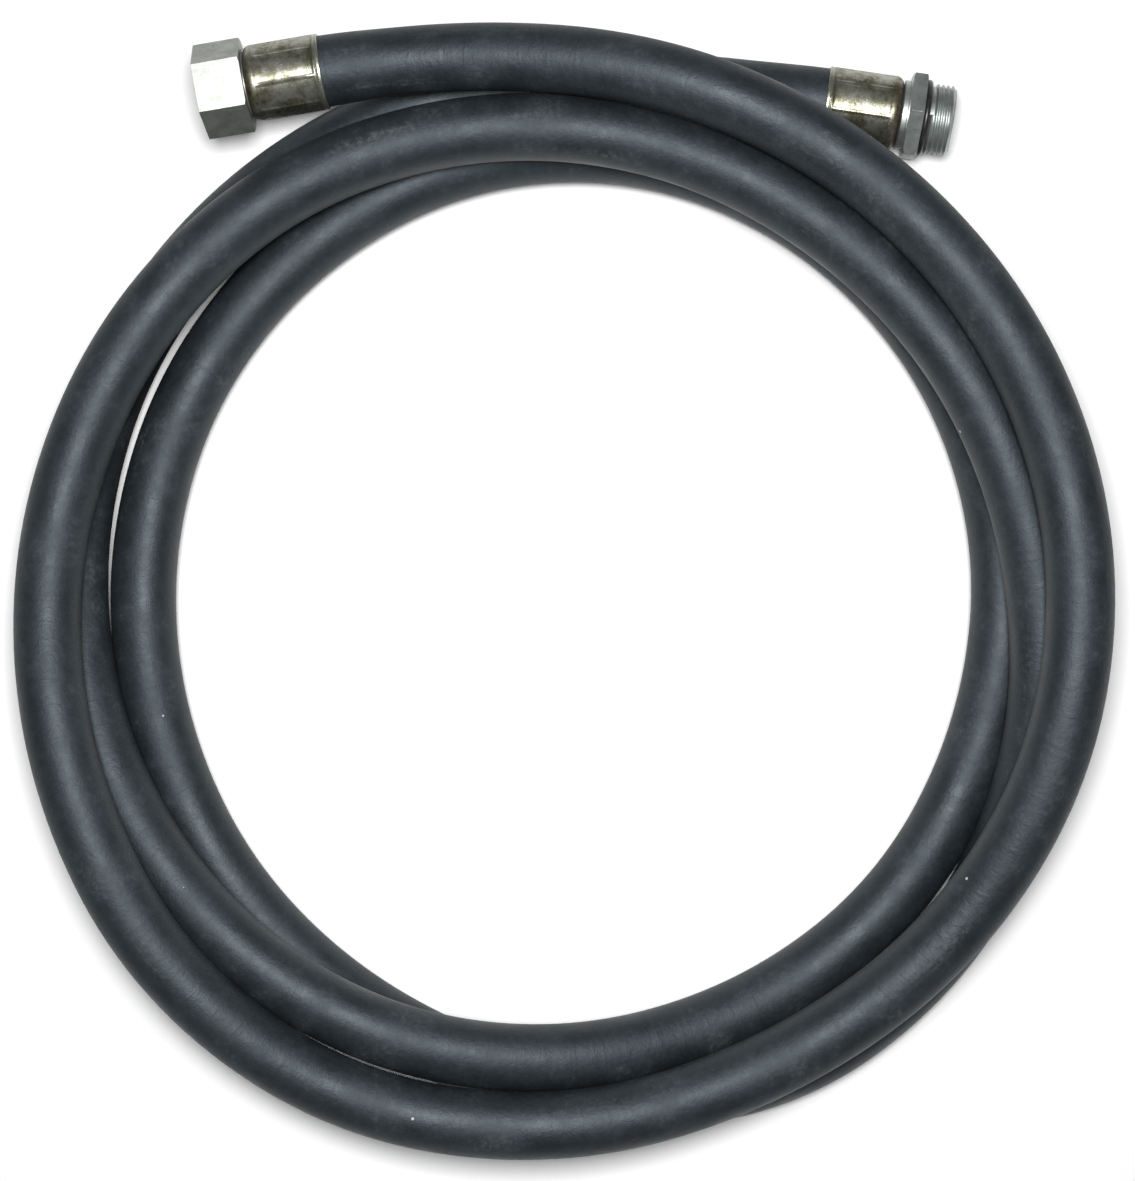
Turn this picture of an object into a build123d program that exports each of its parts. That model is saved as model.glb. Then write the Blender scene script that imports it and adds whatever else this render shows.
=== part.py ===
"""Hydraulic hose assembly: a DN20 two-wire hose with 1 inch BSP end fittings, lying in a flat coil.

The hose is five tubes, one inside the next: liner, wire braid, friction layer, wire braid, cover.
Each end has an insert, pushed into the liner, and a ferrule crimped over the cover. The first end
ends in a swivel nut held by a thrust wire, the second in a fixed male thread with a face seal.
"""

from build123d import *
import os
from math import cos, pi, radians, sin, tan

# Hose, millimetres: each tube's (inner, outer) radius, first free and then squeezed in a ferrule.
HOSE_R = 15.5
HOSE_BORE_R = 9.5
CRIMPED_R = 14.9
TUBES = {
    "hose_liner": ((HOSE_BORE_R, 11.6), (HOSE_BORE_R, 11.2)),
    "inner_wire_braid": ((11.6, 12.3), (11.2, 11.9)),
    "braid_interlayer": ((12.3, 12.6), (11.9, 12.1)),
    "outer_wire_braid": ((12.6, 13.3), (12.1, 12.8)),
    "hose_cover": ((13.3, HOSE_R), (12.8, CRIMPED_R)),
}
BULGE_R = 16.4
BULGE_LENGTH = 28.0
BULGE_FLAT = 2.0
SQUEEZE_LENGTH = 4.0
HOSE_END = 30.0

# The coil: one point each CLOCK_STEP degrees clockwise from the first, seen from above.
CENTRE_X, CENTRE_Y = 2.37, -5.12
CLOCK_START, CLOCK_STEP = -12, 24
FIRST_TURN_RADII = [261, 243, 238, 235, 234, 234.5, 235.5, 235, 242, 250, 247.5, 240, 238.5, 235, 231]
FIRST_TURN_HEIGHTS = [49, 66, 64, 70, 74.5, 71, 50, 47, 55, 54, 64.7, 66, 49, 47, 47]
SECOND_TURN_RADII = [223, 216, 211, 213, 218, 231, 245, 249, 233, 217, 208, 202, 201, 204, 208]
SECOND_TURN_HEIGHTS = [46, 47, 47, 47, 46.5, 39, 17.2] + [HOSE_R] * 8
THIRD_TURN_RADII = [214, 216, 214, 212, 210, 208, 211, 212, 213, 218, 223, 228, 234, 239, 242]
THIRD_TURN_HEIGHTS = [HOSE_R] * 7 + [18.5, 43, 48.5, 44, 35, 16.5, HOSE_R, HOSE_R]
LAST_RADII, LAST_HEIGHTS = [245.5, 253], [HOSE_R, 17]
SWIVEL_MOUTH = (-112.1, 245.7, 47.5)
MALE_MOUTH = (123.6, 236.3, 20.15)
ARC_SHARE = 0.45
CUT_PAST = 1.0

# Ferrule, the same at both ends; every distance runs outward from the ferrule's mouth.
FERRULE_R = 17.5
FERRULE_LENGTH = 35.5
FERRULE_ROUND, SHOULDER_STEP = 3.0, 1.0
MOUTH_CHAMFER = 0.8
FERRULE_LIP_X = 32.0
LIP_R = 12.6
CRIMP_DIES = 8
CRIMP_DEPTH = 0.3
CRIMP_FROM, CRIMP_TO = 3.0, 31.0
CRIMP_ARC = 40.0
SWIVEL_RIDGE, MALE_RIDGE = 29.5, 17.8

# Insert tail, the same at both ends.
BORE_R = 7.6
TAIL_FROM = 1.5
BARB_R, ROOT_R = 9.5, 9.1
BARB_PITCH, BARB_COUNT = 4.6, 6
COLLAR_R = 14.6

# Swivel end: 38 mm nut on a 60 degree nose.
HEX_FLATS = 38.0
HEX_FACE_R, HEX_RIM_R = 21.0, 22.2
CORNER_ANGLE = 30.0
NUT_FACE_R = 22.1
SWIVEL_HEX_TURN = 24.6
NUT_FROM, NUT_TO = 36.0, 58.0
NUT_BACK_R = 14.8
HEAD_R = 14.6
WIRE_X, WIRE_RING_R, WIRE_R = 39.3, 14.7, 1.0
WIRE_CLEARANCE = 0.2
RELIEF_FROM, RELIEF_TO, RELIEF_R = 42.3, 48.2, 16.9
G1_MINOR_R, G1_MAJOR_R = 15.15, 16.62
ENTRY_R = 17.3
NOSE_FROM, NOSE_TO = 42.5, 48.0
NOSE_R, NOSE_TIP_R = 14.2, 11.0
NOSE_RING_X, NOSE_RING_R, NOSE_RING_CORD_R = 45.0, 12.4, 0.9

# Male end: 38 mm hexagon, captive sealing ring and G1 thread.
NECK_R = 16.1
MALE_HEX_FROM, MALE_HEX_TO = 39.3, 46.0
MALE_HEX_TURN = 4.5
UNDERCUT_R = 15.0
THREAD_FROM, MALE_END = 49.0, 60.5
THREAD_CHAMFER = 1.5
SEAT_R, SEAT_ANGLE = 12.5, 30.0
FACE_RING_X, FACE_RING_CORD_R = 47.5, 1.45


def coil_points():
    """Return the route's points: the swivel mouth, the coil, then the male mouth."""
    radii = FIRST_TURN_RADII + SECOND_TURN_RADII + THIRD_TURN_RADII + LAST_RADII
    heights = FIRST_TURN_HEIGHTS + SECOND_TURN_HEIGHTS + THIRD_TURN_HEIGHTS + LAST_HEIGHTS
    outward = 1 / cos(radians(CLOCK_STEP / 2))
    points = [SWIVEL_MOUTH]
    for index, (radius, height) in enumerate(zip(radii, heights)):
        clock = radians(CLOCK_START + CLOCK_STEP * index)
        reach = radius if index in (0, len(radii) - 1) else radius * outward
        points.append((reach * sin(clock), reach * cos(clock), height))
    points.append(MALE_MOUTH)
    return [Vector(x + CENTRE_X, y + CENTRE_Y, z) for x, y, z in points]


def arc_radii(points):
    """Return one bend radius for each corner of the route."""
    radii = []
    for before, corner, after in zip(points, points[1:], points[2:]):
        arriving, leaving = corner - before, after - corner
        half_turn = radians(arriving.get_angle(leaving)) / 2
        shorter = min(arriving.length, leaving.length)
        radii.append(ARC_SHARE * shorter / tan(half_turn))
    return radii


def fitting_plane(mouth, hose_point):
    """Return the upright plane through a fitting's axis, its X running out along the axis."""
    outward = (mouth - hose_point).normalized()
    return Plane(origin=mouth, x_dir=outward, z_dir=outward.cross(Vector(0, 0, 1)))


POINTS = coil_points()
RADII = arc_radii(POINTS)
SWIVEL = fitting_plane(POINTS[0], POINTS[1])
MALE = fitting_plane(POINTS[-1], POINTS[-2])


def axis_of(end):
    """Return the line that a fitting is turned about."""
    return Axis(end.origin, end.x_dir)


def across(end, distance):
    """Return the plane square to a fitting's axis at a distance from the ferrule's mouth."""
    return Plane(origin=end.origin + end.x_dir * distance, x_dir=end.y_dir, z_dir=end.x_dir)


def turn(end, outline, mode=Mode.ADD, arc=360.0):
    """Turn a closed outline of (distance, radius) points about a fitting's axis."""
    with BuildSketch(end) as profile:
        with BuildLine():
            Polyline(*outline, close=True)
        make_face()
    revolve(profile.sketch, axis=axis_of(end), revolution_arc=arc, mode=mode)


def turn_ring(end, distance, ring_radius, cord_radius, mode=Mode.ADD):
    """Turn a round cord about a fitting's axis."""
    with BuildSketch(end) as profile:
        with Locations((distance, ring_radius)):
            Circle(cord_radius)
    revolve(profile.sketch, axis=axis_of(end), mode=mode)


def hexagon(end, start, stop, rotation, last_face_r):
    """Make a hexagon bar whose corners are turned off where an end face is narrower than they are."""
    with BuildSketch(across(end, start)) as profile:
        RegularPolygon(HEX_FLATS / 2, 6, major_radius=False, rotation=rotation)
    extrude(profile.sketch, amount=stop - start)
    first_slope = (HEX_RIM_R - HEX_FACE_R) * tan(radians(CORNER_ANGLE))
    last_slope = (HEX_RIM_R - last_face_r) * tan(radians(CORNER_ANGLE))
    turn(
        end,
        [(start, 0), (start, HEX_FACE_R), (start + first_slope, HEX_RIM_R), (stop - last_slope, HEX_RIM_R),
         (stop, last_face_r), (stop, 0)],
        mode=Mode.INTERSECT,
    )


def tail_outline(end_points):
    """Return an insert's outline: barbed tail, stop collar, ferrule groove, then end_points."""
    outline = [(TAIL_FROM, BORE_R), (TAIL_FROM, ROOT_R)]
    for barb in range(BARB_COUNT):
        foot = TAIL_FROM + BARB_PITCH * barb
        outline += [(foot + BARB_PITCH, BARB_R), (foot + BARB_PITCH, ROOT_R)]
    outline += [(HOSE_END, ROOT_R), (HOSE_END, COLLAR_R), (FERRULE_LIP_X, COLLAR_R)]
    outline += [(FERRULE_LIP_X, LIP_R), (FERRULE_LENGTH, LIP_R)]
    return outline + end_points


def hose_tube(name):
    """Make one of the hose's tubes, from inside one ferrule to inside the other."""
    (inner, outer), (squeezed_inner, squeezed_outer) = TUBES[name]
    with BuildPart() as tube:
        with BuildLine() as route:
            FilletPolyline(*POINTS, radius=RADII)
        with BuildSketch(Plane(origin=POINTS[0], z_dir=POINTS[1] - POINTS[0])):
            Circle(outer)
            Circle(inner, mode=Mode.SUBTRACT)
        sweep(path=route.line)
        swept = tube.part.volume
        length = sum(edge.length for edge in route.edges())
        for end in (SWIVEL, MALE):
            turn(
                end,
                [(0, inner), (0, outer), (SQUEEZE_LENGTH, squeezed_outer), (HOSE_END, squeezed_outer),
                 (HOSE_END, squeezed_inner), (SQUEEZE_LENGTH, squeezed_inner)],
            )
        if name == "hose_cover":
            for end in (SWIVEL, MALE):
                turn(
                    end,
                    [(0, inner), (0, BULGE_R), (-BULGE_FLAT, BULGE_R), (-BULGE_LENGTH, outer),
                     (-BULGE_LENGTH, inner)],
                )
    section = pi * (outer**2 - inner**2)
    print(name, "swept volume over section times length:", round(swept / (section * length), 5))
    return finish(tube, name)


def ferrule(name, end, first_ridge):
    """Make a crimped ferrule: a cup with eight pressed flats between narrow ridges."""
    with BuildPart() as cup:
        turn(
            end,
            [(0, HOSE_R), (0, FERRULE_R - MOUTH_CHAMFER), (MOUTH_CHAMFER, FERRULE_R),
             (FERRULE_LENGTH - FERRULE_ROUND, FERRULE_R),
             (FERRULE_LENGTH - SHOULDER_STEP, FERRULE_R - SHOULDER_STEP),
             (FERRULE_LENGTH, FERRULE_R - FERRULE_ROUND),
             (FERRULE_LENGTH, LIP_R), (FERRULE_LIP_X, LIP_R), (FERRULE_LIP_X, CRIMPED_R),
             (SQUEEZE_LENGTH, CRIMPED_R)],
        )
        for die in range(CRIMP_DIES):
            die_step = 360 / CRIMP_DIES
            angle = first_ridge + (die_step - CRIMP_ARC) / 2 + die_step * die
            turned = end.rotated((angle, 0, 0))
            pressed = FERRULE_R - CRIMP_DEPTH
            turn(
                turned,
                [(CRIMP_FROM, pressed), (CRIMP_FROM, FERRULE_R + CUT_PAST), (CRIMP_TO, FERRULE_R + CUT_PAST),
                 (CRIMP_TO, pressed)],
                mode=Mode.SUBTRACT,
                arc=CRIMP_ARC,
            )
    return finish(cup, name)


def swivel_insert():
    """Make the swivel end's insert, with a head for the thrust wire and a coned nose."""
    with BuildPart() as insert:
        turn(
            SWIVEL,
            tail_outline([(FERRULE_LENGTH, HEAD_R), (NOSE_FROM, HEAD_R), (NOSE_FROM, NOSE_R),
                          (NOSE_TO, NOSE_TIP_R), (NOSE_TO, BORE_R)]),
        )
        turn_ring(SWIVEL, WIRE_X, WIRE_RING_R, WIRE_R, mode=Mode.SUBTRACT)
        turn_ring(SWIVEL, NOSE_RING_X, NOSE_RING_R, NOSE_RING_CORD_R, mode=Mode.SUBTRACT)
    return finish(insert, "swivel_insert")


def swivel_nut():
    """Make the hexagon nut: back bore, thrust wire groove, relief and threaded bore."""
    with BuildPart() as nut:
        hexagon(SWIVEL, NUT_FROM, NUT_TO, SWIVEL_HEX_TURN, NUT_FACE_R)
        turn(
            SWIVEL,
            [(NUT_FROM - CUT_PAST, 0), (NUT_FROM - CUT_PAST, NUT_BACK_R), (RELIEF_FROM, NUT_BACK_R),
             (RELIEF_FROM, RELIEF_R), (RELIEF_TO, RELIEF_R), (RELIEF_TO, G1_MINOR_R),
             (NUT_TO - ENTRY_R + G1_MINOR_R, G1_MINOR_R),
             (NUT_TO, ENTRY_R), (NUT_TO + CUT_PAST, ENTRY_R), (NUT_TO + CUT_PAST, 0)],
            mode=Mode.SUBTRACT,
        )
        turn_ring(SWIVEL, WIRE_X, WIRE_RING_R, WIRE_R + WIRE_CLEARANCE, mode=Mode.SUBTRACT)
    return finish(nut, "swivel_nut")


def ring(name, end, distance, ring_radius, cord_radius):
    """Make a closed round ring: the thrust wire or a sealing ring."""
    with BuildPart() as hoop:
        turn_ring(end, distance, ring_radius, cord_radius)
    return finish(hoop, name)


def male_insert():
    """Make the male end's insert: neck, hexagon, ring groove and threaded end with a coned seat."""
    seat_depth = (SEAT_R - BORE_R) / tan(radians(SEAT_ANGLE))
    with BuildPart() as insert:
        hexagon(MALE, MALE_HEX_FROM, MALE_HEX_TO, MALE_HEX_TURN, HEX_FACE_R)
        turn(
            MALE,
            tail_outline([(FERRULE_LENGTH, NECK_R), (MALE_HEX_FROM, NECK_R), (MALE_HEX_TO, NECK_R),
                          (MALE_HEX_TO, UNDERCUT_R), (THREAD_FROM, UNDERCUT_R),
                          (THREAD_FROM + G1_MAJOR_R - UNDERCUT_R, G1_MAJOR_R),
                          (MALE_END - THREAD_CHAMFER, G1_MAJOR_R), (MALE_END, G1_MAJOR_R - THREAD_CHAMFER),
                          (MALE_END, BORE_R)]),
        )
        turn(
            MALE,
            [(0, 0), (0, BORE_R), (MALE_END - seat_depth, BORE_R), (MALE_END, SEAT_R),
             (MALE_END + CUT_PAST, SEAT_R), (MALE_END + CUT_PAST, 0)],
            mode=Mode.SUBTRACT,
        )
    return finish(insert, "male_insert")


def finish(builder, name):
    """Label a finished piece and write its file."""
    builder.part.label = name
    export_step(builder.part, f"parts/{name}.step")
    return builder.part


os.makedirs("parts", exist_ok=True)
print("bend radii of the hose, mm:", [round(radius) for radius in RADII])
line = FilletPolyline(*POINTS, radius=RADII, mode=Mode.PRIVATE)
print("free length of the hose, mm:", round(sum(edge.length for edge in line.edges()), 1))
pieces = [hose_tube(name) for name in TUBES]
pieces += [ferrule("swivel_ferrule", SWIVEL, SWIVEL_RIDGE), ferrule("male_ferrule", MALE, MALE_RIDGE)]
pieces += [swivel_insert(), swivel_nut(), male_insert()]
pieces += [
    ring("nut_thrust_wire", SWIVEL, WIRE_X, WIRE_RING_R, WIRE_R),
    ring("nose_o_ring", SWIVEL, NOSE_RING_X, NOSE_RING_R, NOSE_RING_CORD_R),
    ring("face_o_ring", MALE, FACE_RING_X, UNDERCUT_R + FACE_RING_CORD_R, FACE_RING_CORD_R),
]
box = Compound(children=pieces).bounding_box()
print("box", box.min, box.max, "centre", box.center())
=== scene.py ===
"""Looks of a coiled hydraulic hose assembly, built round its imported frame.

The hose is five tubes along one smooth route. Each end has a crimped ferrule and an insert; the
first end carries a swivel nut, the second a fixed hexagon with a captive ring and a male thread.
"""

from __future__ import annotations

import logging
import math
from collections.abc import Sequence
from dataclasses import dataclass
from enum import Enum

import bmesh
import bpy
from mathutils import Matrix, Vector

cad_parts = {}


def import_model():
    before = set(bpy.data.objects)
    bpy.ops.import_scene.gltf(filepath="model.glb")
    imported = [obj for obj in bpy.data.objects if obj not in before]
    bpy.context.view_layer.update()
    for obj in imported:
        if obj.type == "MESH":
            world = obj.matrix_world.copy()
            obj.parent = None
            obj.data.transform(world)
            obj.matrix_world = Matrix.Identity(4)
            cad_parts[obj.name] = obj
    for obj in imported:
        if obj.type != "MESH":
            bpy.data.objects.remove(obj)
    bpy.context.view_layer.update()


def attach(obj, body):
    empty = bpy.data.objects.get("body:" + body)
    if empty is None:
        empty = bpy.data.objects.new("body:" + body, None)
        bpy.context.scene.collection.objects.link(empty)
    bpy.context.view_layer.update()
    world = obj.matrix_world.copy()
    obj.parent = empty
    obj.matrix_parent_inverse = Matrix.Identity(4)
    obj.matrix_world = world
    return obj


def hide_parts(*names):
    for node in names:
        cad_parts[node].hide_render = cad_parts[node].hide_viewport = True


LOG = logging.getLogger("hose_assembly")
Outline = list[tuple[float, float]]
MM = 0.001
ROOT_BODY = "hose_assembly"
NUT_BODY = "swivel_nut"

# Turning a hexagon's corners: their angle, the steps along them, and slack when choosing vertices.
CORNER_ANGLE = 30
CORNER_STEP, CORNER_STEPS = 0.12, 7
END_SLACK, COLLAR_SLACK = 0.01, 0.5


class Slot(Enum):
    """The record's material slots that the pieces take their finish from."""

    COVER = "cover_rubber"
    LINER = "liner_rubber"
    BRAID = "wire_braid"
    FERRULE = "ferrule_zinc"
    STEEL = "plated_steel"
    WIRE = "spring_wire"
    SEAL = "seal_rubber"


# ---------------------------------------------------------------- finishes


class Tree:
    """A material's node tree, built one step at a time round its main shader."""

    def __init__(self, name: str) -> None:
        """Start a material.

        Args:
            name: The material's name.
        """
        self.material = bpy.data.materials.new(name)
        self.material.use_nodes = True
        self.nodes = self.material.node_tree.nodes
        self.links = self.material.node_tree.links
        self.shader = self.nodes["Principled BSDF"]
        self.place = self.nodes.new("ShaderNodeTexCoord")

    def set(self, **values: float | tuple[float, ...]) -> None:
        """Set the main shader's own sockets, with underscores for the spaces in their names."""
        for name, value in values.items():
            self.shader.inputs[name.replace("_", " ")].default_value = value

    def node(self, kind: str, **inputs: object) -> bpy.types.Node:
        """Add a node.

        Args:
            kind: The node's type, without its ShaderNode prefix.
            inputs: Socket values or sockets to link, with underscores for spaces.

        Returns:
            The new node.
        """
        node = self.nodes.new("ShaderNode" + kind)
        for name, value in inputs.items():
            socket = node.inputs[name.replace("_", " ")]
            if isinstance(value, bpy.types.NodeSocket):
                self.links.new(value, socket)
            else:
                socket.default_value = value
        return node

    def stretched(self, source: str, scale: tuple[float, float, float]) -> bpy.types.NodeSocket:
        """Return the UV or Object coordinates, scaled along each axis."""
        mapping = self.node("Mapping", Vector=self.place.outputs[source], Scale=scale)
        return mapping.outputs["Vector"]

    def noise(
        self, where: bpy.types.NodeSocket, scale: float, detail: float = 4.0, rough: float = 0.55
    ) -> bpy.types.NodeSocket:
        """Return a soft random value from 0 to 1 at each place."""
        made = self.node("TexNoise", Vector=where, Scale=scale, Detail=detail, Roughness=rough)
        return made.outputs["Fac"]

    def band(
        self, value: bpy.types.NodeSocket, low: float, high: float, start: float = 0.0, stop: float = 1.0
    ) -> bpy.types.NodeSocket:
        """Return the value spread from low..high to start..stop, and held at the ends."""
        made = self.node("MapRange", Value=value, From_Min=low, From_Max=high, To_Min=start, To_Max=stop)
        return made.outputs["Result"]

    def math(
        self, how: str, first: bpy.types.NodeSocket, second: bpy.types.NodeSocket | float
    ) -> bpy.types.NodeSocket:
        """Return two values joined by a named operation."""
        made = self.nodes.new("ShaderNodeMath")
        made.operation = how
        self.links.new(first, made.inputs[0])
        if isinstance(second, bpy.types.NodeSocket):
            self.links.new(second, made.inputs[1])
        else:
            made.inputs[1].default_value = second
        return made.outputs[0]

    def mix(
        self,
        share: bpy.types.NodeSocket,
        first: bpy.types.NodeSocket | tuple[float, ...],
        second: bpy.types.NodeSocket | tuple[float, ...],
    ) -> bpy.types.NodeSocket:
        """Return the first colour where share is 0 and the second where it is 1."""
        made = self.nodes.new("ShaderNodeMix")
        made.data_type = "RGBA"
        self.links.new(share, made.inputs["Factor"])
        for index, colour in ((6, first), (7, second)):
            if isinstance(colour, bpy.types.NodeSocket):
                self.links.new(colour, made.inputs[index])
            else:
                made.inputs[index].default_value = (*colour, 1.0)
        return made.outputs[2]

    def bumps(self, *layers: tuple[bpy.types.NodeSocket, float]) -> None:
        """Raise the surface by each height in turn, with its depth in metres."""
        normal = None
        for height, depth in layers:
            bump = self.node("Bump", Height=height, Distance=depth, Strength=1.0)
            if normal is not None:
                self.links.new(normal, bump.inputs["Normal"])
            normal = bump.outputs["Normal"]
        self.links.new(normal, self.shader.inputs["Normal"])

    def paint(self, colour: bpy.types.NodeSocket, rough: bpy.types.NodeSocket) -> None:
        """Give the shader its colour and its roughness."""
        self.links.new(colour, self.shader.inputs["Base Color"])
        self.links.new(rough, self.shader.inputs["Roughness"])


@dataclass(frozen=True)
class CoverRubber:
    """Black wrapped hose cover: cloth wrap marks, dust, scuffs, specks and dirt."""

    base: tuple[float, float, float] = (0.008, 0.0105, 0.013)
    worn: tuple[float, float, float] = (0.02, 0.026, 0.031)
    dust: tuple[float, float, float] = (0.11, 0.115, 0.115)
    dirt: tuple[float, float, float] = (0.060, 0.046, 0.030)
    speck: tuple[float, float, float] = (0.42, 0.43, 0.44)
    wraps_per_metre: float = 24.0

    def make(self) -> bpy.types.Material:
        """Return the material; its UV runs in metres along the hose and round it."""
        tree = Tree("hose_cover_rubber")
        tree.set(Metallic=0.0, Specular_IOR_Level=0.55, IOR=1.5, Specular_Tint=(0.8, 0.92, 1.0, 1.0))
        across = tree.stretched("UV", (1.0, 0.35, 1.0))
        along = tree.stretched("UV", (0.12, 1.0, 1.0))
        place = tree.place.outputs["Object"]
        streaks = tree.noise(across, 150.0, 5.0, 0.6)
        long_marks = tree.noise(along, 90.0, 5.0, 0.6)
        patches = tree.noise(place, 34.0, 8.0, 0.7)
        clouds = tree.noise(place, 5.0, 3.0, 0.5)
        grain = tree.noise(place, 1500.0, 3.0, 0.7)
        fine = tree.noise(place, 420.0, 4.0, 0.7)
        streaked = tree.band(streaks, 0.35, 0.7, 0.35, 1.0)
        worn = tree.math("MULTIPLY", tree.band(patches, 0.42, 0.68), streaked)
        colour = tree.mix(worn, self.base, self.worn)
        scuffs = tree.math("MULTIPLY", tree.band(long_marks, 0.58, 0.74), tree.band(clouds, 0.42, 0.62))
        rubbed = tree.math("MAXIMUM", scuffs, tree.band(patches, 0.54, 0.74, 0.06, 0.7))
        dusty = tree.math("MULTIPLY", tree.band(fine, 0.42, 0.68), rubbed)
        colour = tree.mix(tree.math("MULTIPLY", dusty, 0.75), colour, self.dust)
        height = tree.node("SeparateXYZ", Vector=place).outputs["Z"]
        low = tree.band(height, 0.004, 0.024, 1.0, 0.0)
        blotches = tree.band(tree.noise(place, 38.0, 5.0, 0.65), 0.42, 0.66, 0.15, 0.9)
        soiled = tree.math("MULTIPLY", low, blotches)
        colour = tree.mix(soiled, colour, self.dirt)
        cells = tree.node("TexVoronoi", Vector=place, Scale=75.0, Randomness=1.0)
        chosen = tree.node("SeparateColor", Color=cells.outputs["Color"]).outputs["Red"]
        dots = tree.math("LESS_THAN", cells.outputs["Distance"], 0.05)
        dots = tree.math("MULTIPLY", dots, tree.math("GREATER_THAN", chosen, 0.91))
        colour = tree.mix(dots, colour, self.speck)
        rough = tree.band(patches, 0.35, 0.68, 0.46, 0.64)
        rough = tree.math("ADD", rough, tree.math("MULTIPLY", dusty, 0.16))
        rough = tree.math("ADD", rough, tree.math("MULTIPLY", soiled, 0.15))
        tree.paint(colour, rough)
        leaning = tree.stretched("UV", (1.0, 0.22, 1.0))
        wrap = tree.node("TexWave", Vector=leaning, Scale=self.wraps_per_metre)
        wrap.inputs["Distortion"].default_value = 2.0
        wrap.inputs["Detail Scale"].default_value = 9.0
        wraps = tree.band(wrap.outputs["Fac"], 0.9, 1.0)
        tree.bumps(
            (grain, 0.00006), (fine, 0.0002), (streaks, 0.00025), (wraps, 0.00004), (dots, 0.0002)
        )
        return tree.material


@dataclass(frozen=True)
class PlainRubber:
    """Smooth black rubber of the liner, the friction layer and the sealing rings."""

    name: str
    base: tuple[float, float, float] = (0.012, 0.012, 0.013)
    shine: tuple[float, float] = (0.28, 0.42)

    def make(self) -> bpy.types.Material:
        """Return the material."""
        tree = Tree(self.name)
        tree.set(Metallic=0.0, Specular_IOR_Level=0.5)
        place = tree.place.outputs["Object"]
        cloud = tree.noise(place, 220.0, 4.0)
        dull = tuple(channel * 2.4 for channel in self.base)
        colour = tree.mix(tree.band(cloud, 0.45, 0.75), self.base, dull)
        tree.paint(colour, tree.band(cloud, 0.3, 0.7, *self.shine))
        tree.bumps((tree.noise(place, 1400.0, 2.0), 0.00003), (cloud, 0.00005))
        return tree.material


@dataclass(frozen=True)
class WireBraid:
    """Brass-tinted steel wires laid both ways round the hose."""

    wire: tuple[float, float, float] = (0.55, 0.47, 0.3)
    gap: tuple[float, float, float] = (0.05, 0.04, 0.03)
    wires_per_metre: float = 160.0

    def make(self) -> bpy.types.Material:
        """Return the material; its UV runs in metres along the hose and round it."""
        tree = Tree("hose_wire_braid")
        tree.set(Metallic=1.0)
        crossings = []
        for lean in (1.0, -1.0):
            place = tree.stretched("UV", (1.0, lean, 1.0))
            wave = tree.node("TexWave", Vector=place, Scale=self.wires_per_metre)
            wave.bands_direction = "DIAGONAL"
            crossings.append(wave.outputs["Fac"])
        top = tree.math("MAXIMUM", *crossings)
        colour = tree.mix(tree.band(top, 0.2, 0.8), self.gap, self.wire)
        tree.paint(colour, tree.band(top, 0.2, 1.0, 0.6, 0.3))
        tree.bumps((top, 0.0003))
        return tree.material


@dataclass(frozen=True)
class PassivatedZinc:
    """Yellow passivated zinc on a crimped ferrule: straw, olive and brown, mottled and scuffed."""

    bright: tuple[float, float, float] = (0.36, 0.36, 0.3)
    straw: tuple[float, float, float] = (0.2, 0.185, 0.125)
    olive: tuple[float, float, float] = (0.045, 0.056, 0.032)
    stain: tuple[float, float, float] = (0.13, 0.065, 0.03)

    def make(self) -> bpy.types.Material:
        """Return the material; its UV runs along the ferrule from its mouth, 0 to 1, and round it."""
        tree = Tree("ferrule_passivated_zinc")
        tree.set(Metallic=0.88, Specular_IOR_Level=0.5)
        place = tree.place.outputs["Object"]
        spot = tree.node("SeparateXYZ", Vector=tree.place.outputs["UV"])
        cloud = tree.noise(place, 120.0, 5.0, 0.6)
        mottle = tree.noise(place, 520.0, 5.0, 0.7)
        lines = tree.noise(tree.stretched("UV", (60.0, 1.5, 1.0)), 3.0, 4.0, 0.6)
        colour = tree.mix(tree.band(cloud, 0.4, 0.62), self.bright, self.straw)
        clouded = tree.band(cloud, 0.35, 0.6, 0.3, 0.95)
        green = tree.math("MULTIPLY", tree.band(mottle, 0.42, 0.66), clouded)
        colour = tree.mix(green, colour, self.olive)
        shoulder = tree.band(spot.outputs["X"], 0.86, 0.95)
        mouth = tree.band(spot.outputs["X"], 0.075, 0.05)
        seam = tree.band(spot.outputs["X"], 0.075, 0.13, 1.0, 0.0)
        brown = tree.math("MULTIPLY", shoulder, tree.band(cloud, 0.3, 0.7, 0.45, 1.0))
        colour = tree.mix(tree.math("MULTIPLY", brown, 0.5), colour, self.stain)
        colour = tree.mix(tree.math("MULTIPLY", seam, 0.25), colour, self.olive)
        colour = tree.mix(tree.math("MULTIPLY", mouth, 0.8), colour, self.bright)
        rough = tree.band(mottle, 0.35, 0.7, 0.24, 0.42)
        tree.paint(colour, tree.math("ADD", rough, tree.math("MULTIPLY", brown, 0.08)))
        pits = tree.band(tree.noise(place, 1700.0, 3.0, 0.8), 0.62, 0.7)
        tree.bumps((lines, 0.00006), (mottle, 0.00004), (cloud, 0.00015), (pits, -0.00003))
        return tree.material


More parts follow.
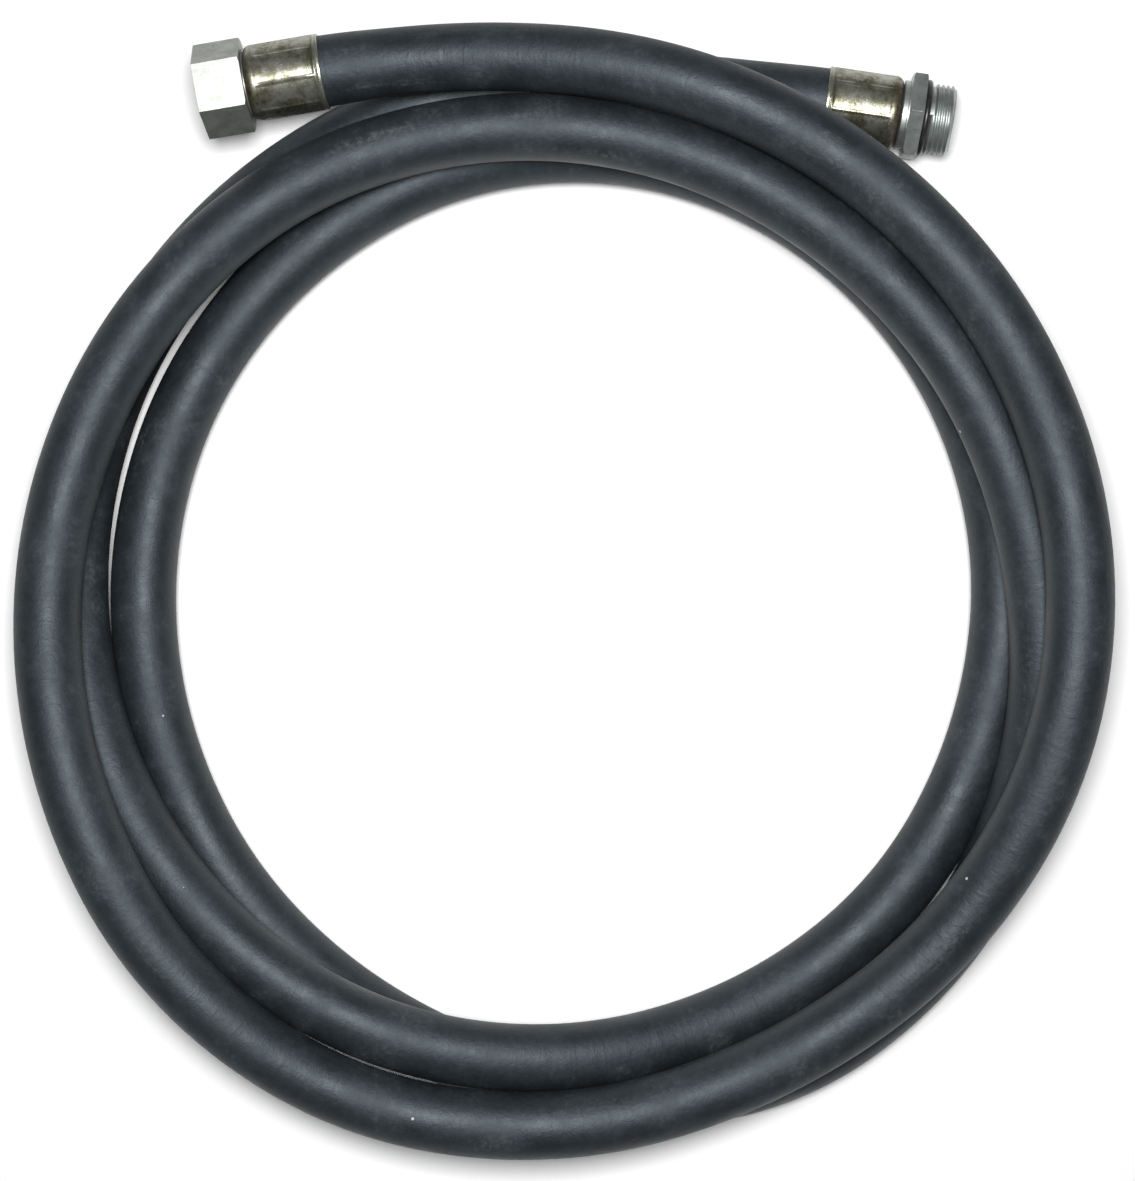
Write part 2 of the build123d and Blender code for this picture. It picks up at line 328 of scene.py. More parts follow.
@dataclass(frozen=True)
class PlatedSteel:
    """Machined and zinc plated steel, with the tool's lines round it and a few stains."""

    name: str
    bright: tuple[float, float, float] = (0.32, 0.335, 0.305)
    dull: tuple[float, float, float] = (0.22, 0.235, 0.215)
    stain: tuple[float, float, float] = (0.13, 0.11, 0.07)
    shine: tuple[float, float] = (0.34, 0.5)
    metal: float = 0.72

    def make(self) -> bpy.types.Material:
        """Return the material; its UV runs along the piece in metres and round it from 0 to 1."""
        tree = Tree(self.name)
        tree.set(Metallic=self.metal, Specular_IOR_Level=0.5)
        place = tree.place.outputs["Object"]
        cloud = tree.noise(place, 160.0, 5.0, 0.6)
        mottle = tree.noise(place, 700.0, 4.0, 0.7)
        lines = tree.noise(tree.stretched("UV", (2600.0, 1.0, 1.0)), 1.0, 3.0, 0.6)
        scratches = tree.noise(tree.stretched("UV", (60.0, 160.0, 1.0)), 1.6, 5.0, 0.65)
        colour = tree.mix(tree.band(cloud, 0.4, 0.7), self.bright, self.dull)
        spots = tree.math("MULTIPLY", tree.band(mottle, 0.6, 0.72), tree.band(cloud, 0.45, 0.6))
        colour = tree.mix(tree.math("MULTIPLY", spots, 0.6), colour, self.stain)
        rough = tree.band(scratches, 0.35, 0.7, *self.shine)
        rough = tree.math("ADD", rough, tree.math("MULTIPLY", spots, 0.12))
        tree.paint(colour, rough)
        tree.bumps((lines, 0.00003), (scratches, 0.00002), (mottle, 0.00002))
        return tree.material


@dataclass(frozen=True)
class StudioPaint:
    """Plain pale floor."""

    base: tuple[float, float, float] = (0.84, 0.84, 0.835)

    def make(self) -> bpy.types.Material:
        """Return the material."""
        tree = Tree("studio_floor")
        tree.set(Base_Color=(*self.base, 1.0), Roughness=0.75)
        return tree.material


# ---------------------------------------------------------------- making meshes


@dataclass(frozen=True)
class FittingAxis:
    """Where a fitting lies: its ferrule's mouth, and the way that it points."""

    mouth: Vector
    outward: Vector

    def matrix(self, turn: float = 0.0) -> Matrix:
        """Return the placing of a mesh whose own X is the fitting's axis and own Z is up.

        Args:
            turn: Degrees that the mesh is turned about its axis first.

        Returns:
            A matrix in the row's frame, in metres.
        """
        side = Vector((0, 0, 1)).cross(self.outward).normalized()
        up = self.outward.cross(side)
        axes = Matrix((self.outward, side, up)).transposed().to_4x4()
        return Matrix.Translation(self.mouth) @ axes @ Matrix.Rotation(math.radians(turn), 4, "X")


def polar(vertex: bmesh.types.BMVert) -> tuple[float, float]:
    """Return a vertex's angle from its mesh's own Z, in degrees, and its distance from the axis."""
    y, z = vertex.co.y, vertex.co.z
    return math.degrees(math.atan2(y, z)) % 360.0, math.hypot(y, z)


def set_radius(vertex: bmesh.types.BMVert, radius: float) -> None:
    """Move a vertex straight in or out to a distance from its mesh's own X axis."""
    now = math.hypot(vertex.co.y, vertex.co.z)
    vertex.co.y *= radius / now
    vertex.co.z *= radius / now


def turned(outline: Outline, segments: int) -> bmesh.types.BMesh:
    """Spin a closed outline about X.

    Args:
        outline: Points as (distance along X, radius), in millimetres, in order round the section.
        segments: How many steps make the full circle.

    Returns:
        A closed mesh in metres.
    """
    mesh = bmesh.new()
    corners = [mesh.verts.new((x * MM, 0.0, radius * MM)) for x, radius in outline]
    edges = [mesh.edges.new((a, b)) for a, b in zip(corners, corners[1:] + corners[:1])]
    bmesh.ops.spin(
        mesh,
        geom=corners + edges,
        cent=(0, 0, 0),
        axis=(1, 0, 0),
        angle=math.tau,
        steps=segments,
        use_merge=True,
    )
    bmesh.ops.remove_doubles(mesh, verts=mesh.verts, dist=1e-7)
    bmesh.ops.recalc_face_normals(mesh, faces=mesh.faces)
    return mesh


def helix(tooth: Outline, start: float, pitch: float, turns: float, steps: int) -> bmesh.types.BMesh:
    """Spin a thread tooth about X while it moves along, and close its two ends.

    Args:
        tooth: The tooth's section, as (distance along X, radius) in millimetres.
        start: Where the thread starts along X, in millimetres.
        pitch: Advance for each turn, in millimetres.
        turns: How many turns the thread makes.
        steps: How many steps make each turn.

    Returns:
        A closed mesh in metres.
    """
    mesh = bmesh.new()
    corners = [mesh.verts.new(((x + start) * MM, 0.0, radius * MM)) for x, radius in tooth]
    edges = [mesh.edges.new((a, b)) for a, b in zip(corners, corners[1:] + corners[:1])]
    bmesh.ops.spin(
        mesh,
        geom=corners + edges,
        cent=(0, 0, 0),
        axis=(1, 0, 0),
        dvec=(pitch * MM / steps, 0, 0),
        angle=math.tau * turns,
        steps=round(steps * turns),
    )
    bmesh.ops.holes_fill(mesh, edges=[edge for edge in mesh.edges if edge.is_boundary], sides=0)
    bmesh.ops.recalc_face_normals(mesh, faces=mesh.faces)
    return mesh


def join(mesh: bmesh.types.BMesh, other: bmesh.types.BMesh) -> None:
    """Add another mesh's shells to a mesh, and free the other."""
    spare = bpy.data.meshes.new("spare")
    other.to_mesh(spare)
    other.free()
    mesh.from_mesh(spare)
    bpy.data.meshes.remove(spare)


def press_hexagon(
    mesh: bmesh.types.BMesh, start: float, stop: float, flats: float, face_radii: tuple[float, float]
) -> None:
    """Push a turned collar out or in to a hexagon, with its corners turned off at 30 degrees.

    Args:
        mesh: The mesh, whose collar already stands further out than its other parts.
        start: Where the hexagon starts along X, in millimetres.
        stop: Where it stops.
        flats: The width across its flats.
        face_radii: How far out each end face reaches, at start and at stop.
    """
    slope = math.tan(math.radians(CORNER_ANGLE))
    for vertex in mesh.verts:
        angle, radius = polar(vertex)
        along = vertex.co.x / MM
        inside = start - END_SLACK <= along <= stop + END_SLACK
        if inside and radius / MM > flats / 2 - COLLAR_SLACK:
            from_corner = (angle + 30.0) % 60.0 - 30.0
            wall = flats / 2 / math.cos(math.radians(30.0 - abs(from_corner)))
            limit = min(face_radii[0] + (along - start) / slope, face_radii[1] + (stop - along) / slope)
            set_radius(vertex, min(wall, limit) * MM)


def hexagon_steps(start: float, stop: float, radius: float) -> Outline:
    """Return a collar's outer outline with enough points for turned corners at both ends."""
    ends = [step * CORNER_STEP for step in range(CORNER_STEPS)]
    return [(start + step, radius) for step in ends] + [(stop - step, radius) for step in reversed(ends)]


def wrap_uv(mesh: bmesh.types.BMesh, unit: float) -> None:
    """Give a turned mesh a UV map: U along X in the given unit, V once round.

    Args:
        mesh: The mesh, still lying along its own X.
        unit: The length in metres that makes one unit of U.
    """
    layer = mesh.loops.layers.uv.verify()
    for face in mesh.faces:
        turns = [polar(loop.vert)[0] / 360.0 for loop in face.loops]
        crosses = max(turns) - min(turns) > 0.5
        for loop, turn in zip(face.loops, turns):
            loop[layer].uv = (loop.vert.co.x / unit, turn + 1.0 if crosses and turn < 0.5 else turn)


def finish_piece(
    name: str, mesh: bmesh.types.BMesh, material: bpy.types.Material, sharp: float = 28.0
) -> bpy.types.Object:
    """Turn a mesh into an object at the origin, smooth but for its sharp edges.

    Args:
        name: The object's name.
        mesh: The finished mesh, in the row's frame; it is freed.
        material: Its material.
        sharp: Edges that turn by more degrees than this stay sharp.

    Returns:
        The new object.
    """
    data = bpy.data.meshes.new(name)
    mesh.to_mesh(data)
    mesh.free()
    data.polygons.foreach_set("use_smooth", [True] * len(data.polygons))
    data.set_sharp_from_angle(angle=math.radians(sharp))
    data.materials.append(material)
    piece = bpy.data.objects.new(name, data)
    bpy.context.scene.collection.objects.link(piece)
    return piece


def soften(piece: bpy.types.Object, width: float, angle: float = 35.0) -> None:
    """Round a piece's sharp edges by a small width, in millimetres."""
    bevel = piece.modifiers.new("soft_edges", "BEVEL")
    bevel.width = width * MM
    bevel.segments = 2
    bevel.limit_method = "ANGLE"
    bevel.angle_limit = math.radians(angle)
    bevel.harden_normals = True


def install(piece: bpy.types.Object, body: str, slot: Slot, *nodes: str) -> bpy.types.Object:
    """Make a piece ride on a body and stand for its CAD nodes."""
    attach(piece, body)
    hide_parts(*nodes)
    LOG.info("%s rides on %s and stands for %s", piece.name, body, ", ".join(nodes))
    return piece


# ---------------------------------------------------------------- the hose


@dataclass(frozen=True)
class Route:
    """The hose's route: the swivel mouth, the coil clockwise from above, the male mouth."""

    centre: tuple[float, float] = (0.00237, -0.00512)
    clock_start: float = -12.0
    clock_step: float = 24.0
    floor: float = 0.0155
    swivel_mouth: tuple[float, float, float] = (-0.1121, 0.2457, 0.0475)
    male_mouth: tuple[float, float, float] = (0.1236, 0.2363, 0.02015)
    samples: int = 14

    def coil(self) -> list[tuple[float, float]]:
        """Return the radius and height of the coil at each clock step, in metres."""
        low = self.floor
        first = [
            (0.261, 0.049), (0.243, 0.066), (0.238, 0.064), (0.235, 0.07), (0.234, 0.0745),
            (0.2345, 0.071), (0.2355, 0.05), (0.235, 0.047), (0.242, 0.055), (0.25, 0.054),
            (0.2475, 0.0647), (0.24, 0.066), (0.2385, 0.049), (0.235, 0.047), (0.231, 0.047),
        ]
        second = [
            (0.223, 0.046), (0.216, 0.047), (0.211, 0.047), (0.213, 0.047), (0.218, 0.0465),
            (0.231, 0.039), (0.245, 0.0172), (0.249, low), (0.233, low), (0.217, low),
            (0.208, low), (0.202, low), (0.201, low), (0.204, low), (0.208, low),
        ]
        third = [
            (0.214, low), (0.216, low), (0.214, low), (0.212, low), (0.21, low),
            (0.208, low), (0.211, low), (0.212, 0.0185), (0.213, 0.043), (0.218, 0.0485),
            (0.223, 0.044), (0.228, 0.035), (0.234, 0.0165), (0.239, low), (0.242, low),
        ]
        return first + second + third + [(0.2455, low), (0.253, 0.017)]

    def points(self) -> list[Vector]:
        """Return the route's control points in the row's frame, in metres."""
        turns = self.coil()
        outward = 1.0 / math.cos(math.radians(self.clock_step / 2))
        points = [Vector(self.swivel_mouth)]
        for index, (radius, height) in enumerate(turns):
            clock = math.radians(self.clock_start + self.clock_step * index)
            reach = radius if index in (0, len(turns) - 1) else radius * outward
            points.append(Vector((reach * math.sin(clock), reach * math.cos(clock), height)))
        points.append(Vector(self.male_mouth))
        return [point + Vector((*self.centre, 0.0)) for point in points]

    def line(self) -> list[Vector]:
        """Return closely spaced points of the smooth spline that the control points make."""
        data = bpy.data.curves.new("route", "CURVE")
        data.dimensions = "3D"
        data.resolution_u = self.samples
        spline = data.splines.new("NURBS")
        control = self.points()
        spline.points.add(len(control) - 1)
        for point, place in zip(spline.points, control):
            point.co = (*place, 1.0)
        spline.order_u = 3
        spline.use_endpoint_u = True
        bare = bpy.data.objects.new("route", data)
        mesh = bpy.data.meshes.new_from_object(bare)
        line = [vertex.co.copy() for vertex in mesh.vertices]
        bpy.data.meshes.remove(mesh)
        bpy.data.curves.remove(data)
        return line


@dataclass(frozen=True)
class Tube:
    """One of the hose's tubes, with its radii in millimetres."""

    node: str
    inner: float
    outer: float
    slot: Slot
    sides: int = 24
    swelling: float = 0.0


class Hose:
    """The five tubes of the hose, all along one route."""

    TUBES = (
        Tube("hose_cover", 13.3, 15.5, Slot.COVER, 44, 0.95),
        Tube("outer_wire_braid", 12.6, 13.3, Slot.BRAID),
        Tube("braid_interlayer", 12.3, 12.6, Slot.LINER),
        Tube("inner_wire_braid", 11.6, 12.3, Slot.BRAID),
        Tube("hose_liner", 9.5, 11.6, Slot.LINER),
    )
    SWELLING_LENGTH = 0.042
    TUCKED_IN = 0.003
    END_REACH = 0.03

    def __init__(self, route: Route) -> None:
        """Read the route's line and add a short stretch inside each ferrule.

        Args:
            route: The hose's route.
        """
        line = route.line()
        first = (line[0] - line[1]).normalized() * self.TUCKED_IN
        last = (line[-1] - line[-2]).normalized() * self.TUCKED_IN
        self.line = [line[0] + first, *line, line[-1] + last]
        self.along = [0.0]
        for before, after in zip(self.line, self.line[1:]):
            self.along.append(self.along[-1] + (after - before).length)
        self.free_length = self.along[-1] - 2 * self.TUCKED_IN

    def frames(self) -> list[tuple[Vector, Vector]]:
        """Return two directions square to the line at each point, turning as little as they can."""
        tangents = [(b - a).normalized() for a, b in zip(self.line, self.line[1:])]
        tangents.append(tangents[-1])
        side = tangents[0].cross(Vector((0, 0, 1))).normalized()
        frames = []
        for index, ahead in enumerate(tangents):
            behind = tangents[max(index - 1, 0)]
            middle = (ahead + behind).normalized()
            side = (side - middle * side.dot(middle)).normalized()
            frames.append((side, middle.cross(side)))
        return frames

    def swell(self, tube: Tube, station: int) -> float:
        """Return how far a tube stands out at a station, in millimetres, beside its ferrules."""
        near = min(self.along[station], self.along[-1] - self.along[station])
        share = max(0.0, 1.0 - near / self.SWELLING_LENGTH)
        return tube.swelling * share * share * (3.0 - 2.0 * share)

    def build(self, tube: Tube, material: bpy.types.Material) -> bpy.types.Object:
        """Make one tube with both its walls, closed at both ends.

        Args:
            tube: The tube's sizes.
            material: Its material, which reads UV in metres along and round the tube.

        Returns:
            The new object.
        """
        mesh = bmesh.new()
        frames = self.frames()
        walls = []
        for radius in (tube.outer, tube.inner):
            rings = self.wall(mesh, tube.sides)
            for index, ring in enumerate(rings):
                swollen = radius + (self.swell(tube, index) if radius == tube.outer else 0.0)
                self.place(ring, self.line[index], frames[index], swollen * MM)
            walls.append(rings)
        self.lay_uv(mesh, walls, tube)
        bmesh.ops.remove_doubles(mesh, verts=mesh.verts, dist=1e-6)
        first_end = [edge for edge in mesh.edges if edge.is_boundary and self.at(edge, 0)]
        bmesh.ops.bridge_loops(mesh, edges=first_end)
        bmesh.ops.bridge_loops(mesh, edges=[edge for edge in mesh.edges if edge.is_boundary])
        bmesh.ops.recalc_face_normals(mesh, faces=mesh.faces)
        return finish_piece(f"{tube.node}_tube", mesh, material, 60.0)

    def wall(self, mesh: bmesh.types.BMesh, sides: int) -> list[list[bmesh.types.BMVert]]:
        """Add a flat grid, and return its vertices in order, one row for each point of the line."""
        rows = len(self.line)
        made = bmesh.ops.create_grid(mesh, x_segments=sides, y_segments=rows - 1, size=1.0)["verts"]
        rings: list[list[bmesh.types.BMVert]] = [[] for _ in range(rows)]
        for vertex in sorted(made, key=lambda corner: corner.co.x):
            rings[round((vertex.co.y + 1.0) / 2.0 * (rows - 1))].append(vertex)
        return rings

    def at(self, edge: bmesh.types.BMEdge, station: int) -> bool:
        """Tell whether an edge lies round a point of the line."""
        return (edge.verts[0].co - self.line[station]).length < self.END_REACH

    @staticmethod
    def place(
        ring: Sequence[bmesh.types.BMVert], centre: Vector, frame: tuple[Vector, Vector], radius: float
    ) -> None:
        """Roll a row of vertices onto a circle square to the line, its two ends together."""
        side, up = frame
        for index, vertex in enumerate(ring):
            angle = math.tau * index / (len(ring) - 1)
            vertex.co = centre + (side * math.cos(angle) + up * math.sin(angle)) * radius

    def lay_uv(
        self, mesh: bmesh.types.BMesh, walls: list[list[list[bmesh.types.BMVert]]], tube: Tube
    ) -> None:
        """Give the tube a UV map in metres: U along the hose, V round it."""
        layer = mesh.loops.layers.uv.verify()
        round_way = math.tau * tube.outer * MM
        for rings in walls:
            for station, ring in enumerate(rings):
                for index, vertex in enumerate(ring):
                    for loop in vertex.link_loops:
                        loop[layer].uv = (self.along[station], index / tube.sides * round_way)


# ---------------------------------------------------------------- the fittings


@dataclass(frozen=True)
class Ferrule:
    """A crimped ferrule; lengths run outward from its mouth, in millimetres."""

    axis: FittingAxis
    node: str
    first_ridge: float
    radius: float = 17.5
    length: float = 35.5
    shoulder: float = 3.8
    lip_from: float = 32.0
    lip_radius: float = 12.65
    cavity: float = 15.0
    dies: int = 8
    crimp_from: float = 2.8
    crimp_to: float = 31.0
    ridge_height: float = 0.26
    hollow: float = 0.2
    fade_in: float = 1.0
    fade_out: float = 1.2
    ridge_half_angle: float = 0.7
    ramp_angle: float = 2.6
    segments: int = 192

    def outline(self) -> Outline:
        """Return the section: rolled mouth, seam groove, body, round shoulder, cavity."""
        full = self.radius
        points = [(0.0, 15.75), (0.0, full - 0.5), (0.25, full - 0.12), (0.7, full), (1.3, full)]
        points += [(1.7, full - 0.22), (2.1, full - 0.25), (2.4, full - 0.05), (2.8, full)]
        points += [(2.8 + 0.4 * step, full) for step in range(1, 4)]
        points += [(x, full) for x in (8.0, 13.0, 18.0, 23.0, 28.0, 29.8, 30.4, 31.0)]
        for step in range(9):
            angle = math.radians(90 - 90 * step / 8)
            points.append((
                self.length - self.shoulder + self.shoulder * math.cos(angle),
                full - self.shoulder + self.shoulder * math.sin(angle),
            ))
        points += [(self.length, self.lip_radius), (self.lip_from, self.lip_radius)]
        return points + [(self.lip_from, self.cavity), (4.0, self.cavity), (0.6, 15.75)]

    def crimp(self, mesh: bmesh.types.BMesh) -> None:
        """Press the dies' flats into the body, which leaves narrow ridges between them."""
        pitch = 360.0 / self.dies
        for vertex in mesh.verts:
            angle, radius = polar(vertex)
            along = vertex.co.x / MM
            if radius / MM < self.radius - 0.6:
                continue
            fade_in = min(1.0, max(0.0, (along - self.crimp_from) / self.fade_in))
            fade_out = min(1.0, max(0.0, (self.crimp_to - along) / self.fade_out))
            from_ridge = abs((angle - self.first_ridge + pitch / 2) % pitch - pitch / 2)
            pressed = min(1.0, max(0.0, (from_ridge - self.ridge_half_angle) / self.ramp_angle))
            flat = 1.0 - (1.0 - from_ridge / (pitch / 2)) ** 2
            depth = self.ridge_height * pressed + self.hollow * flat
            set_radius(vertex, radius - depth * min(fade_in, fade_out) * MM)

    def build(self, material: bpy.types.Material) -> bpy.types.Object:
        """Make the ferrule, place it and replace its CAD node."""
        mesh = turned(self.outline(), self.segments)
        self.crimp(mesh)
        wrap_uv(mesh, self.length * MM)
        bmesh.ops.transform(mesh, matrix=self.axis.matrix(), verts=mesh.verts)
        piece = finish_piece(f"{self.node}_crimped", mesh, material)
        return install(piece, ROOT_BODY, Slot.FERRULE, self.node)


@dataclass(frozen=True)
class Thread:
    """A parallel pipe thread, in millimetres."""

    pitch: float = 2.309
    crest: float = 16.62
    root: float = 15.15
    steps: int = 72

    def tooth(self, inward: bool) -> Outline:
        """Return one tooth's section, rounded at its crest, with its foot sunk in the wall."""
        half, sunk = self.pitch * 0.485, 0.25
        middle = (self.crest + self.root) / 2
        base, tip = (self.crest, self.root) if inward else (self.root, self.crest)
        foot = base + sunk if inward else base - sunk
        near = tip + (0.22 if inward else -0.22)
        side = middle + (base - middle) * 0.85
        rising = [(-half, foot), (-half, base), (-half * 0.86, side), (-0.32, near), (-0.14, tip)]
        return rising + [(-x, radius) for x, radius in reversed(rising)]


@dataclass(frozen=True)
class InsertTail:
    """The part of an insert that is hidden in the hose, the same at both ends, in millimetres."""

    bore: float = 7.6
    start: float = 1.5
    barb: float = 9.45
    root: float = 9.1
    barb_pitch: float = 4.6
    barbs: int = 6
    collar: float = 14.6
    collar_from: float = 30.0
    groove_from: float = 32.0
    groove_to: float = 35.6
    groove: float = 12.55

    def outline(self) -> Outline:
        """Return the tail's outline from its bore's mouth to the ferrule's groove."""
        points = [(self.start, self.bore), (self.start, self.root)]
        for barb in range(self.barbs):
            foot = self.start + self.barb_pitch * (barb + 1)
            points += [(foot, self.barb), (foot, self.root)]
        points += [(self.collar_from, self.root), (self.collar_from, self.collar)]
        points += [(self.groove_from, self.collar), (self.groove_from, self.groove)]
        return points + [(self.groove_to, self.groove)]


@dataclass(frozen=True)
class SwivelEnd:
    """The swivel end: insert with a coned nose, thrust wire, nose ring and hexagon nut."""

    axis: FittingAxis
    tail: InsertTail = InsertTail()
    thread: Thread = Thread()
    nut_from: float = 36.0
    nut_to: float = 58.0
    flats: float = 38.0
    nut_turn: float = 24.6
    thread_from: float = 49.1
    turns: float = 3.6
    entry_from: float = 55.9
    segments: int = 144

    def insert(self, material: bpy.types.Material) -> bpy.types.Object:
        """Make the insert with its wire groove, coned nose and ring groove."""
        outline = self.tail.outline()
        outline += [(35.6, 14.6), (38.4, 14.6), (38.6, 13.8), (40.0, 13.8), (40.2, 14.6), (42.3, 14.6)]
        outline += [(42.5, 14.2), (44.1, 13.3), (44.4, 12.2), (45.6, 11.6), (45.9, 12.2), (47.7, 11.2)]
        outline += [(48.0, 10.9), (48.0, 8.1), (47.5, self.tail.bore)]
        mesh = turned(outline, self.segments)
        wrap_uv(mesh, 1.0)
        bmesh.ops.transform(mesh, matrix=self.axis.matrix(), verts=mesh.verts)
        piece = finish_piece("swivel_insert_turned", mesh, material)
        soften(piece, 0.15)
        return install(piece, ROOT_BODY, Slot.STEEL, "swivel_insert")

    def nut(self, material: bpy.types.Material) -> bpy.types.Object:
        """Make the hexagon nut with its back bore, wire groove, relief and female thread."""
        outline = [(self.nut_from, 14.85)]
        outline += hexagon_steps(self.nut_from, self.nut_to, 21.0)
        outline += [(self.nut_to, 17.3), (57.3, 16.62), (48.2, 16.62), (48.2, 16.9)]
        outline += [(42.3, 16.9), (42.3, 14.85)]
        outline += [(40.4, 14.85), (40.2, 15.75), (38.4, 15.75), (38.2, 14.85)]
        mesh = turned(outline, self.segments)
        press_hexagon(mesh, self.nut_from, self.nut_to, self.flats, (21.0, 22.1))
        thread = self.thread
        tooth = helix(thread.tooth(True), self.thread_from, thread.pitch, self.turns, thread.steps)
        for vertex in tooth.verts:
            radius, along = polar(vertex)[1] / MM, vertex.co.x / MM
            if radius < thread.crest:
                opened = max(radius, thread.root + along - self.entry_from)
                set_radius(vertex, min(thread.crest, opened) * MM)
        join(mesh, tooth)
        wrap_uv(mesh, 1.0)
        bmesh.ops.transform(mesh, matrix=self.axis.matrix(self.nut_turn), verts=mesh.verts)
        piece = finish_piece("swivel_nut_hexagon", mesh, material)
        soften(piece, 0.18)
        return install(piece, NUT_BODY, Slot.STEEL, "swivel_nut")


@dataclass(frozen=True)
class MaleEnd:
    """The male end: insert with neck, hexagon and thread, and the ring on its face."""

    axis: FittingAxis
    tail: InsertTail = InsertTail()
    thread: Thread = Thread()
    hexagon_from: float = 39.3
    hexagon_to: float = 46.0
    flats: float = 38.0
    hexagon_turn: float = 4.5
    thread_from: float = 49.0
    tooth_from: float = 49.9
    turns: float = 4.3
    run_in: tuple[float, float] = (48.9, 1.3)
    run_out: tuple[float, float] = (0.1, 1.1)
    end: float = 60.5
    segments: int = 144

    def insert(self, material: bpy.types.Material) -> bpy.types.Object:
        """Make the insert with its hexagon, undercut, coned seat and male thread."""
        core = self.thread.root - 0.05
        outline = self.tail.outline()
        outline += [(36.0, 14.6), (36.0, 15.7), (36.3, 16.1), (38.4, 16.1)]
        outline += [(38.7, 15.8), (self.hexagon_from, 15.8)]
        outline += hexagon_steps(self.hexagon_from, self.hexagon_to, 21.0)
        outline += [(self.hexagon_to, 15.0), (self.thread_from - 0.2, 15.0), (self.thread_from, core)]
        outline += [(self.end - 0.3, core), (self.end, core - 0.3), (self.end, 12.6)]
        outline += [(self.end - 8.5, self.tail.bore)]
        mesh = turned(outline, self.segments)
        press_hexagon(mesh, self.hexagon_from, self.hexagon_to, self.flats, (20.9, 20.9))
        thread = self.thread
        tooth = helix(thread.tooth(False), self.tooth_from, thread.pitch, self.turns, thread.steps)
        short, falling = self.run_out
        first, rising = self.run_in
        for vertex in tooth.verts:
            radius, along = polar(vertex)[1] / MM, vertex.co.x / MM
            if radius > core:
                limit = core + min((self.end - short - along) * falling, (along - first) * rising)
                set_radius(vertex, max(core - 0.1, min(radius, limit)) * MM)
        join(mesh, tooth)
        wrap_uv(mesh, 1.0)
        bmesh.ops.transform(mesh, matrix=self.axis.matrix(self.hexagon_turn), verts=mesh.verts)
        piece = finish_piece("male_insert_threaded", mesh, material)
        soften(piece, 0.16, 40.0)
        return install(piece, ROOT_BODY, Slot.STEEL, "male_insert")


@dataclass(frozen=True)
class RoundRing:
    """A closed round ring that lies square to a fitting's axis; lengths in millimetres."""

    name: str
    node: str
    slot: Slot
    x: float
    radius: float
    cord: float
    sides: int = 20
    segments: int = 144

    def build(self, axis: FittingAxis, material: bpy.types.Material) -> bpy.types.Object:
        """Make the ring, place it and replace its CAD node.

        Args:
            axis: The fitting's axis.
            material: The ring's material.

        Returns:
            The new object.
        """
        section = []
        for step in range(self.sides):
            angle = math.tau * step / self.sides
            out, up = self.cord * math.cos(angle), self.cord * math.sin(angle)
            section.append((self.x + out, self.radius + up))
        mesh = turned(section, self.segments)
        wrap_uv(mesh, 1.0)
        bmesh.ops.transform(mesh, matrix=axis.matrix(), verts=mesh.verts)
        piece = finish_piece(self.name, mesh, material, 60.0)
        return install(piece, ROOT_BODY, self.slot, self.node)


THRUST_WIRE = RoundRing("nut_thrust_wire_bright", "nut_thrust_wire", Slot.WIRE, 39.3, 14.7, 0.95)
NOSE_RING = RoundRing("nose_o_ring_soft", "nose_o_ring", Slot.SEAL, 45.0, 12.4, 0.88)
FACE_RING = RoundRing("face_o_ring_soft", "face_o_ring", Slot.SEAL, 47.5, 16.45, 1.45)


# ---------------------------------------------------------------- the studio


@dataclass(frozen=True)
class Lamp:
    """A square soft lamp that is aimed at the coil's middle."""

    name: str
    place: tuple[float, float, float]
    size: float
    power: float


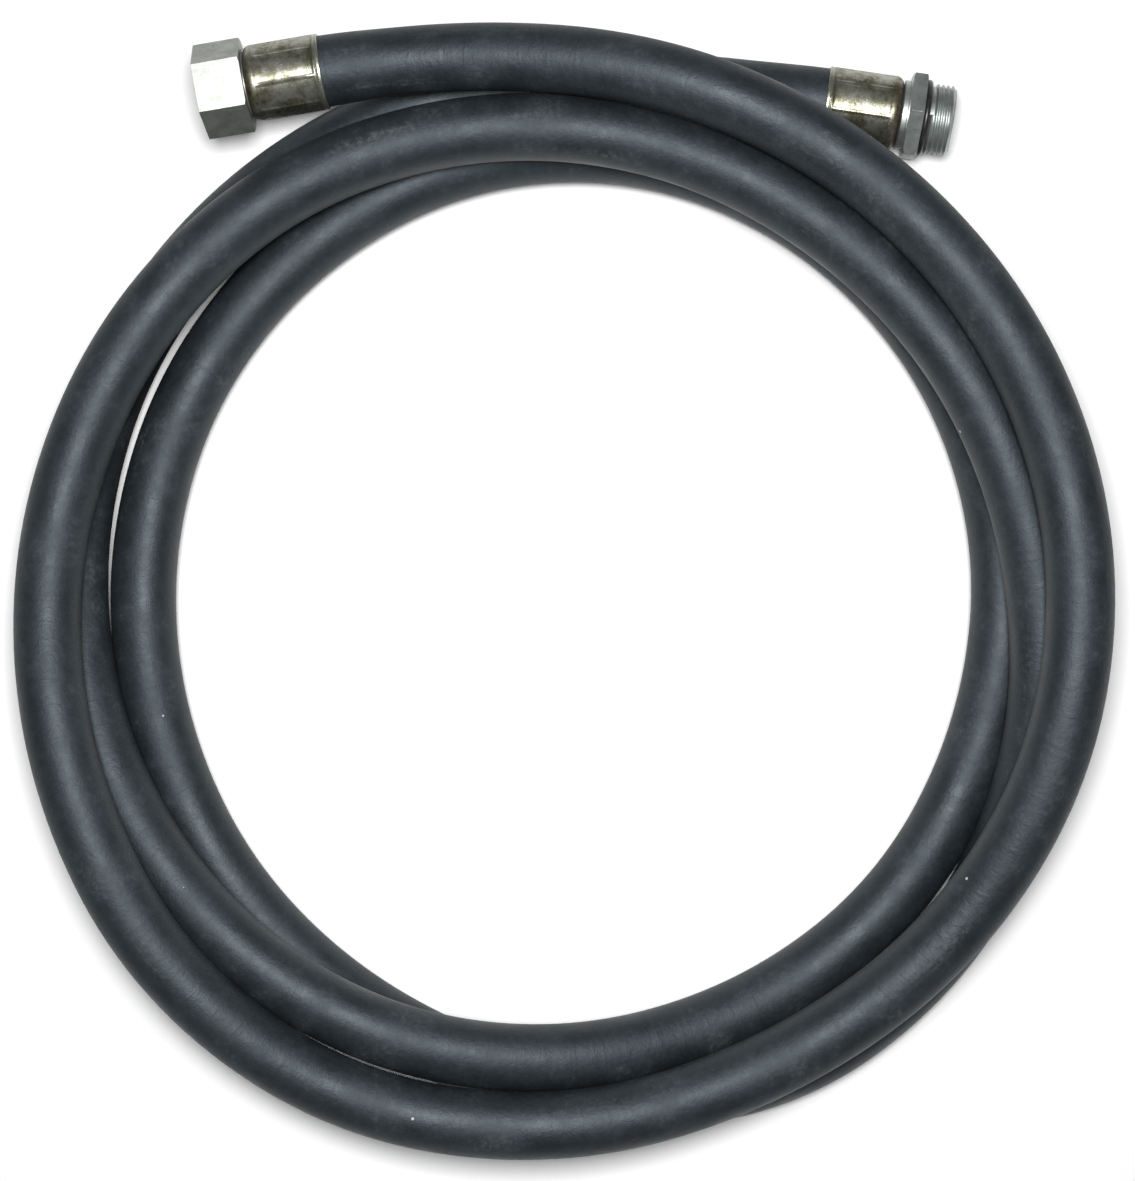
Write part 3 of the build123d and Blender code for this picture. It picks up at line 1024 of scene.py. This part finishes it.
class Studio:
    """Pale floor, soft lights and the camera that looks straight down."""

    LAMPS = (
        Lamp("key", (0.0, 0.1, 1.27), 0.3, 21.0),
        Lamp("side", (-0.36, 0.26, 1.25), 0.22, 0.6),
    )
    SKY = (0.93, 0.96, 1.0, 1.0)
    SKY_BRIGHTNESS = 0.14
    FLOOR_SIZE = 6.0
    FLOOR_DROP = 0.0004

    HEIGHT = 1.2
    LENS = 75.6
    AIM = (0.00357, -0.00062)

    def floor(self) -> None:
        """Lay a wide floor under the coil."""
        mesh = bmesh.new()
        bmesh.ops.create_grid(mesh, x_segments=2, y_segments=2, size=self.FLOOR_SIZE)
        piece = finish_piece("studio_floor", mesh, StudioPaint().make())
        piece.data.transform(Matrix.Translation((0, 0, -self.FLOOR_DROP)))

    def camera(self) -> None:
        """Hang the camera over the coil."""
        data = bpy.data.cameras.new("overhead")
        data.lens = self.LENS
        camera = bpy.data.objects.new("overhead", data)
        camera.location = (*self.AIM, self.HEIGHT)
        bpy.context.scene.collection.objects.link(camera)
        bpy.context.scene.camera = camera

    def light(self, lamp: Lamp) -> None:
        """Hang one lamp."""
        data = bpy.data.lights.new(lamp.name, "AREA")
        data.size = lamp.size
        data.energy = lamp.power
        hung = bpy.data.objects.new(lamp.name, data)
        hung.location = lamp.place
        hung.rotation_euler = (-Vector(lamp.place)).to_track_quat("-Z", "Y").to_euler()
        bpy.context.scene.collection.objects.link(hung)

    def world(self) -> None:
        """Fill the surroundings with an even pale light."""
        world = bpy.data.worlds.new("studio")
        world.use_nodes = True
        background = world.node_tree.nodes["Background"]
        background.inputs["Color"].default_value = self.SKY
        background.inputs["Strength"].default_value = self.SKY_BRIGHTNESS
        bpy.context.scene.world = world

    def build(self) -> None:
        """Set up the whole studio."""
        self.camera()
        self.floor()
        self.world()
        for lamp in self.LAMPS:
            self.light(lamp)
        bpy.context.scene.view_settings.view_transform = "Standard"


def fitting_axes(route: Route) -> tuple[FittingAxis, FittingAxis]:
    """Return the swivel end's and the male end's axes, which run on from the hose's ends."""
    points = route.points()
    return (
        FittingAxis(points[0], (points[0] - points[1]).normalized()),
        FittingAxis(points[-1], (points[-1] - points[-2]).normalized()),
    )


def main() -> None:
    """Load the frame, set up the studio and build every piece in order."""
    logging.basicConfig(level=logging.INFO)
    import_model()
    Studio().build()
    route = Route()
    hose = Hose(route)
    swivel_axis, male_axis = fitting_axes(route)
    zinc = PassivatedZinc().make()
    steel = PlatedSteel("machined_plated_steel").make()
    seal = PlainRubber("seal_rubber_black").make()
    wire = PlatedSteel("bright_spring_wire", shine=(0.18, 0.3), metal=1.0).make()
    materials = {
        Slot.COVER: CoverRubber().make(),
        Slot.BRAID: WireBraid().make(),
        Slot.LINER: PlainRubber("liner_rubber_black", shine=(0.5, 0.65)).make(),
    }
    for tube in hose.TUBES:
        piece = hose.build(tube, materials[tube.slot])
        install(piece, ROOT_BODY, tube.slot, tube.node)
    Ferrule(swivel_axis, "swivel_ferrule", -29.5).build(zinc)
    male_ferrule = Ferrule(male_axis, "male_ferrule", -17.8).build(zinc)
    swivel = SwivelEnd(swivel_axis)
    swivel.insert(steel)
    swivel.nut(steel)
    THRUST_WIRE.build(swivel_axis, wire)
    NOSE_RING.build(swivel_axis, seal)
    pale_steel = PlatedSteel("pale_plated_steel", (0.42, 0.45, 0.44), (0.3, 0.325, 0.315), metal=0.86)
    male_insert = MaleEnd(male_axis).insert(pale_steel.make())
    face_ring = FACE_RING.build(male_axis, seal)
    LOG.info("free length of the hose: %.3f m", hose.free_length)


if __name__ == "__main__":
    main()
